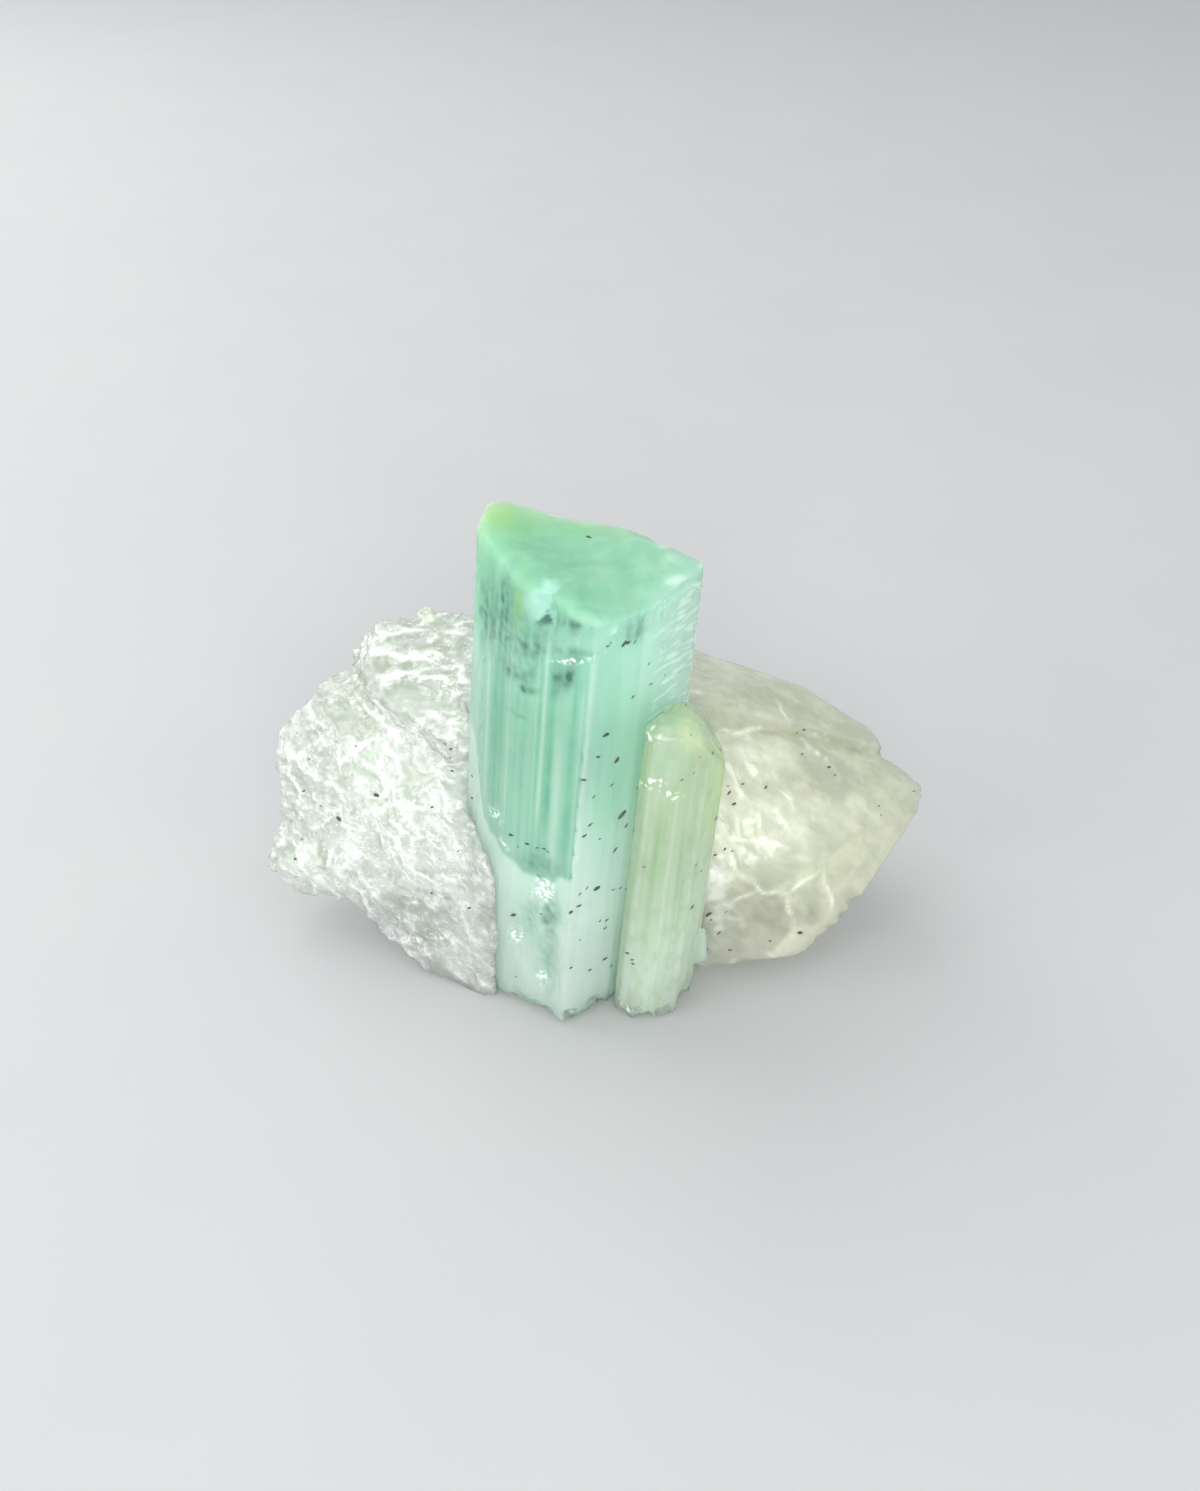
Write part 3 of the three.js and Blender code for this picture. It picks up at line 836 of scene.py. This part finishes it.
def large_material():
    tree = Tree("mint_tourmaline")
    tree.set(IOR=TOURMALINE_IOR, Subsurface_Weight=1.0, Subsurface_Scale=PRISM_SCATTER)
    tree.see_through(0.76, green=0.06, pale=0.12, glint=0.6, top=0.14)
    tree.absorb((0.66, 0.94, 0.80), 30)
    fine = tree.noise(2600, 2, tree.where(40))
    cloud = tree.noise(420, 3, tree.where(3))
    mottle = tree.noise(900, 4, tree.where(2))
    colour = tree.mix(tree.attribute("streak"), (0.14, 0.54, 0.37), (0.74, 0.99, 0.86))
    colour = tree.mix(tree.remap(fine, 0.4, 0.7, 0, 0.2), colour, (0.78, 0.99, 0.88))
    colour = tree.mix(tree.remap(cloud, 0.5, 0.75, 0, 0.3), colour, (0.34, 0.76, 0.56))
    # Painted light on the front face, where the small prism and the floor shade it.
    colour = tree.mix(tree.attribute("front", 0.5), colour, (0.66, 0.98, 0.82))
    # Painted light on the right face.
    colour = tree.mix(tree.attribute("bright", 0.75), colour, (0.78, 0.998, 0.88))
    colour = tree.mix(tree.attribute("pale", 0.85), colour, (0.80, 0.998, 0.87))
    colour = tree.mix(tree.attribute("green", 0.75), colour, (0.21, 0.57, 0.36))
    colour = tree.mix(tree.remap(mottle, 0.45, 0.7, 0, 0.3), colour, (0.62, 0.94, 0.72))
    colour = tree.mix(tree.attribute("yellow", 0.9), colour, (0.34, 0.59, 0.18))
    colour = tree.mix(tree.attribute("top", 0.4), colour, (0.14, 0.36, 0.19))
    # Dark wisps and painted shade.
    colour = tree.mix(tree.attribute("smoke_and_shade"), colour, (0.02, 0.14, 0.11))
    colour = tree.mix(tree.attribute("chip", 0.6), colour, (0.58, 0.90, 0.86))
    colour = tree.mix(tree.attribute("glint"), colour, (1.0, 1.0, 1.0))
    tree.link(colour, tree.shader.inputs["Base Color"])
    matte = tree.math("ADD", tree.attribute("green", 0.4), tree.attribute("rear", 0.4))
    matte = tree.math("ADD", matte, tree.attribute("top", 0.2))
    gloss = tree.remap(cloud, 0.3, 0.7, 0.10, 0.20)
    tree.link(tree.math("ADD", gloss, matte), tree.shader.inputs["Roughness"])
    normal = tree.bump(tree.noise(1500, 2, tree.where(60)), 0.00005)
    normal = tree.bump(tree.noise(4200, 2, tree.where(30)), 0.00002, normal)
    tree.link(normal, tree.shader.inputs["Normal"])
    return tree.material


def small_material():
    tree = Tree("pale_tourmaline")
    tree.set(IOR=TOURMALINE_IOR, Subsurface_Weight=1.0, Subsurface_Scale=PRISM_SCATTER)
    tree.see_through(0.72, pale=0.1, rim=0.08, glint=0.7)
    tree.absorb((0.82, 0.95, 0.76), 20)
    fine = tree.noise(2600, 2, tree.where(40))
    cloud = tree.noise(520, 3, tree.where(3))
    mottle = tree.noise(1100, 4, tree.where(2))
    colour = tree.mix(tree.attribute("streak"), (0.38, 0.58, 0.33), (0.84, 0.96, 0.75))
    colour = tree.mix(tree.remap(fine, 0.4, 0.7, 0, 0.25), colour, (0.90, 0.99, 0.84))
    colour = tree.mix(tree.remap(cloud, 0.5, 0.75, 0, 0.35), colour, (0.62, 0.84, 0.56))
    colour = tree.mix(tree.attribute("pale", 0.65), colour, (0.76, 0.96, 0.77))
    colour = tree.mix(tree.attribute("clear", 0.7), colour, (0.60, 0.88, 0.64))
    colour = tree.mix(tree.attribute("rim", 0.85), colour, (0.68, 0.90, 0.42))
    colour = tree.mix(tree.remap(mottle, 0.48, 0.68, 0, 0.5), colour, (0.46, 0.64, 0.40))
    colour = tree.mix(tree.attribute("splinter"), colour, (0.66, 0.99, 0.82))
    colour = tree.mix(tree.attribute("glint"), colour, (1.0, 1.0, 1.0))
    tree.link(colour, tree.shader.inputs["Base Color"])
    matte = tree.attribute("rear", 0.4)
    gloss = tree.remap(cloud, 0.3, 0.7, 0.10, 0.20)
    tree.link(tree.math("ADD", gloss, matte), tree.shader.inputs["Roughness"])
    normal = tree.bump(tree.noise(1700, 2, tree.where(50)), 0.00004)
    normal = tree.bump(tree.noise(4600, 2, tree.where(30)), 0.00002, normal)
    tree.link(normal, tree.shader.inputs["Normal"])
    return tree.material


def quartz_material():
    tree = Tree("frosted_quartz")
    tree.set(IOR=QUARTZ_IOR, Subsurface_Weight=1.0, Subsurface_Scale=QUARTZ_SCATTER)
    tree.absorb((0.95, 0.96, 0.88), 8)
    crest = tree.attribute("crest")
    warm = tree.attribute("warm")
    rough = tree.attribute("rough")
    # Painted light and shade: the creases are painted lighter on their side facing RELIEF_LIGHT and darker
    # on the other.
    slanted, slanted_lit = tree.lit_web(CREASES, 4, 2.0, FOLD_TILT, 0.00010)
    level, level_lit = tree.lit_web(CREASES, 4, 2.4, CREST_TILT, 0.00010)
    web = tree.blend(crest, slanted, level)
    lit = tree.blend(crest, slanted_lit, level_lit)
    lit = tree.math("MULTIPLY", lit, tree.remap(rough, 0.2, 1, 0.12, 1.0))
    # crumbs here is the lit side of the fine crumbs, for painted light and shade.
    _, crumbs = tree.lit_web(CRUMBS, 3, 1.3, FOLD_TILT, 0.00005)
    crumbs = tree.math("MULTIPLY", crumbs, rough)
    white = tree.mix(warm, (0.82, 0.87, 0.81), (0.82, 0.84, 0.66))
    window = tree.mix(warm, (0.60, 0.67, 0.56), (0.62, 0.645, 0.505))
    # shade is the colour of the painted shade on the creases and relief.
    shade = tree.mix(warm, (0.50, 0.56, 0.48), (0.60, 0.61, 0.48))
    mottle = tree.noise(900, 4, tree.where(1.6, FOLD_TILT))
    # The milkiness here carries painted light and shade by which way the walls face.
    milk_and_painted_light = tree.math("ADD", tree.attribute("milk_and_painted_light"), tree.remap(mottle, 0.35, 0.65, -0.45, 0.35))
    colour = tree.mix(tree.math("MINIMUM", tree.math("MAXIMUM", milk_and_painted_light, 0.0), 1.0), window, white)
    # Painted shade on the sides of the displaced relief turned from RELIEF_LIGHT.
    colour = tree.mix(tree.remap(tree.attribute("painted_relief_shade"), 0.5, 0.1, 0, 0.6), colour, shade)
    # Painted shade on the crease sides turned from the light, then on those of the fine crumbs.
    colour = tree.mix(tree.remap(lit, 0.0, -0.5, 0, 0.7), colour, shade)
    colour = tree.mix(tree.remap(crumbs, 0.0, -0.5, 0, 0.6), colour, shade)
    threads = tree.math("MULTIPLY", tree.remap(web, 1.25, 1.75), tree.remap(rough, 0.2, 1, 0.08, 0.55))
    # bright holds painted highlights on the lit sides of the creases and crumbs, together with the white
    # threads, folds, veins and patches.
    bright = tree.math("ADD", tree.remap(lit, 0.06, 0.45), tree.remap(crumbs, 0.05, 0.5, 0, 0.7))
    bright = tree.math("ADD", tree.math("ADD", bright, threads), tree.attribute("lines"))
    bright = tree.math("MINIMUM", bright, 1.0)
    colour = tree.mix(bright, colour, tree.mix(warm, (1.0, 1.0, 0.99), (0.97, 0.98, 0.90)))
    colour = tree.mix(tree.attribute("cracks", 0.5), colour, (0.44, 0.48, 0.38))
    colour = tree.mix(tree.attribute("bud"), colour, (0.72, 0.88, 0.56))
    tree.link(colour, tree.shader.inputs["Base Color"])
    clear = tree.math("SUBTRACT", QUARTZ_CLEAR, tree.math("MULTIPLY", bright, 0.24))
    tree.link(clear, tree.shader.inputs["Transmission Weight"])
    tree.link(tree.remap(rough, 0, 1, 0.24, 0.21), tree.shader.inputs["Roughness"])
    creases = tree.web(CREASES, 2, tree.where(2.0, FOLD_TILT))
    normal = tree.bump(tree.math("MULTIPLY", creases, tree.remap(rough, 0, 1, 0.15, 1.0)), 0.00012)
    tree.link(normal, tree.shader.inputs["Normal"])
    return tree.material


# Dark flakes grown on the crystals: those seen by their pixels and length in pixels, the others by chance

FLAKES_SEEN = [
    (606, 735, 10), (617, 760, 8), (598, 757, 5), (612, 785, 5), (584, 780, 6), (594, 797, 5),
    (622, 815, 11), (590, 825, 7), (584, 836, 6), (626, 826, 8), (615, 850, 7), (600, 839, 4),
    (544, 849, 5), (511, 835, 8), (527, 844, 6), (518, 847, 4), (537, 848, 5), (539, 876, 5),
    (513, 915, 8), (530, 920, 4), (541, 914, 5), (580, 894, 5), (597, 888, 10), (587, 888, 5),
    (613, 890, 5), (626, 889, 4), (579, 906, 8), (571, 912, 6), (605, 928, 6), (600, 921, 4),
    (607, 920, 5), (580, 940, 4), (590, 970, 6), (571, 968, 5), (611, 966, 5), (605, 959, 6),
    (624, 644, 8), (635, 642, 5), (628, 643, 5), (651, 684, 6), (633, 697, 5), (649, 664, 4),
    (589, 537, 7), (608, 646, 4), (611, 643, 4), (663, 648, 3), (680, 672, 3), (665, 675, 4),
    (597, 1000, 5), (516, 977, 5), (620, 888, 6), (548, 852, 4), (686, 705, 4), (713, 753, 5),
    (720, 750, 4), (682, 780, 4), (694, 773, 4), (716, 818, 6), (696, 865, 5), (701, 871, 4),
    (692, 907, 8), (644, 867, 5), (627, 953, 6), (632, 960, 5), (634, 831, 5), (637, 788, 4),
    (633, 964, 4), (700, 757, 3), (691, 735, 3), (376, 795, 9), (339, 819, 9), (356, 746, 7),
    (309, 759, 4), (304, 791, 5), (291, 821, 4), (302, 839, 5), (295, 859, 6), (296, 877, 4),
    (359, 894, 4), (432, 893, 5), (440, 859, 4), (458, 851, 4), (451, 749, 6), (450, 758, 4),
    (297, 733, 4), (452, 771, 4), (472, 776, 4), (472, 798, 6), (469, 908, 5), (432, 807, 5),
    (346, 884, 3), (321, 806, 3), (445, 744, 4), (835, 775, 5), (802, 754, 4), (829, 767, 5),
    (879, 806, 4), (881, 815, 3), (734, 804, 6), (729, 793, 5), (743, 784, 4), (766, 787, 5),
    (728, 786, 3), (715, 855, 4), (709, 914, 8), (711, 920, 4), (719, 933, 7), (730, 950, 6),
    (707, 949, 6), (726, 912, 4), (800, 933, 6), (804, 730, 4), (797, 733, 4), (914, 791, 4),
    (732, 851, 4), (725, 849, 4), (770, 941, 4),
]
FLAKE_SCALE = 1.25  # lengths over those read from the soft pixels
FLAKE_DEPTH = 0.12  # half thickness as a share of the length
FLAKES_BY_CHANCE = [
    (-23, -9, 3, 22, 34),
    (-9, 6, 3, 24, 30),
    (6, 20, 2, 17, 26),
]  # box of x and z in millimetres as seen from behind, and how many
CHANCE_START = 30  # y behind the crystals from which they are cast, in millimetres
CHANCE_LENGTH = (0.2, 0.5)
FLAKE_TURN = (-0.3, 0.9)  # in radians from level
FLAKE_SIDES = 8
FLAKE_SEED = 5


def flake(rng, length):
    """A small irregular lens: points of a squashed, uneven double fan, about the origin."""
    sides = FLAKE_SIDES
    angles = np.arange(sides) * 2 * np.pi / sides + rng.uniform(-0.25, 0.25, sides)
    reach = rng.uniform(0.6, 1.0, sides)
    wide = rng.uniform(0.28, 0.6)
    ring = np.column_stack([np.cos(angles) * reach, np.sin(angles) * reach * wide, np.zeros(sides)]) / 2
    points = np.vstack([ring, [[0, 0, FLAKE_DEPTH], [0, 0, -FLAKE_DEPTH]]]) * length
    faces = [(i, (i + 1) % sides, sides) for i in range(sides)]
    faces += [((i + 1) % sides, i, sides + 1) for i in range(sides)]
    return points, faces


def flake_material():
    tree = Tree("dark_flakes")
    tree.set(Roughness=0.45)
    colour = tree.mix(tree.noise(3000, 2), (0.004, 0.008, 0.005), (0.03, 0.05, 0.03))
    tree.link(colour, tree.shader.inputs["Base Color"])
    return tree.material


def scatter_flakes(skins):
    """One mesh of all flakes, each lying on the skin that carries it."""
    rng = np.random.default_rng(FLAKE_SEED)
    trees = [tree_of(skin) for skin in skins]
    spots = []
    for x, y, length in FLAKES_SEEN:
        spots.append((seen(trees, (x, y)), FLAKE_SCALE * length * PIXEL))
    for x0, x1, z0, z1, count in FLAKES_BY_CHANCE:
        for _ in range(count):
            start = Vector((rng.uniform(x0, x1), CHANCE_START, rng.uniform(z0, z1))) * MM
            hits = [tree.ray_cast(start, Vector((0, -1, 0))) for tree in trees]
            hits = [hit for hit in hits if hit[0] is not None]
            if hits:
                spots.append((min(hits, key=lambda hit: hit[3])[:2], rng.uniform(*CHANCE_LENGTH)))
    all_points, all_faces = [], []
    for hit, length in spots:
        if hit is None:
            continue
        spot, normal = hit
        points, faces = flake(rng, length)
        level = Vector((0, 0, 1)).cross(normal).normalized()
        turn = rng.uniform(*FLAKE_TURN)
        first = level * math.cos(turn) + normal.cross(level) * math.sin(turn)
        basis = np.array([first, normal.cross(first), normal])
        shift = sum(len(p) for p in all_points)
        all_points.append(points @ basis + np.array(spot) / MM)
        all_faces += [tuple(i + shift for i in face) for face in faces]
    mesh = bpy.data.meshes.new("dark_flakes")
    mesh.from_pydata((np.vstack(all_points) * MM).tolist(), [], all_faces)
    mesh.materials.append(flake_material())
    piece = bpy.data.objects.new("dark_flakes", mesh)
    bpy.context.scene.collection.objects.link(piece)
    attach(piece, "root")


# Stage, light and camera

FLOOR_REACH = 2.0
SKY_STRENGTH = 1.1
NEAREST = 0.005  # clipping distance of the camera
LIGHTS = [
    ("key", (-0.24, 0.20, 0.26), 0.40, 1.3, (1.0, 0.99, 0.97)),
    ("side", (-0.28, -0.16, 0.16), 0.20, 0.55, (1.0, 1.0, 1.0)),
    ("fill", (0.24, -0.24, 0.18), 0.24, 0.28, (1.0, 0.99, 0.97)),
    ("front", (0.02, -0.42, 0.19), 0.26, 1.9, (1.0, 1.0, 1.0)),
]  # name, place, size in metres, watts and colour


def floor():
    mesh = bpy.data.meshes.new("floor")
    reach = FLOOR_REACH
    corners = [(-reach, -reach, 0), (reach, -reach, 0), (reach, reach, 0), (-reach, reach, 0)]
    mesh.from_pydata(corners, [], [(0, 1, 2, 3)])
    tree = Tree("pale_floor")
    tree.set(Roughness=0.7)
    colour = tree.mix(tree.noise(60, 3), (0.33, 0.333, 0.336), (0.35, 0.35, 0.35))
    tree.link(colour, tree.shader.inputs["Base Color"])
    mesh.materials.append(tree.material)
    piece = bpy.data.objects.new("floor", mesh)
    bpy.context.scene.collection.objects.link(piece)


def area_light(name, where, size, power, colour):
    data = bpy.data.lights.new(name, "AREA")
    data.size = size
    data.energy = power
    data.color = colour
    lamp = bpy.data.objects.new(name, data)
    lamp.location = where
    lamp.rotation_euler = (VIEW_TARGET - lamp.location).to_track_quat("-Z", "Y").to_euler()
    bpy.context.scene.collection.objects.link(lamp)


def studio():
    world = bpy.data.worlds.new("studio")
    world.use_nodes = True
    sky = world.node_tree.nodes["Background"]
    sky.inputs["Color"].default_value = (0.94, 0.97, 1.0, 1)
    sky.inputs["Strength"].default_value = SKY_STRENGTH
    bpy.context.scene.world = world
    for name, where, size, power, colour in LIGHTS:
        area_light(name, Vector(where), size, power, colour)
    bpy.context.scene.view_settings.view_transform = "Standard"
    paths = bpy.context.scene.cycles
    paths.max_bounces = 12
    paths.diffuse_bounces = 3
    paths.glossy_bounces = 3


def camera():
    data = bpy.data.cameras.new("camera")
    data.lens = LENS
    data.sensor_width = SENSOR
    data.clip_start = NEAREST
    eye = bpy.data.objects.new("camera", data)
    eye.location = EYE
    eye.rotation_euler = (-VIEW_BACK).to_track_quat("-Z", "Y").to_euler()
    bpy.context.scene.collection.objects.link(eye)
    bpy.context.scene.camera = eye


def dress(piece, material):
    piece.data.materials.append(material)
    return piece


camera()
studio()
floor()
skins = [
    dress(dress_large(), large_material()),
    dress(dress_small(), small_material()),
    dress(dress_quartz(), quartz_material()),
]
close_contact(skins[2], skins[:2])
scatter_flakes(skins)
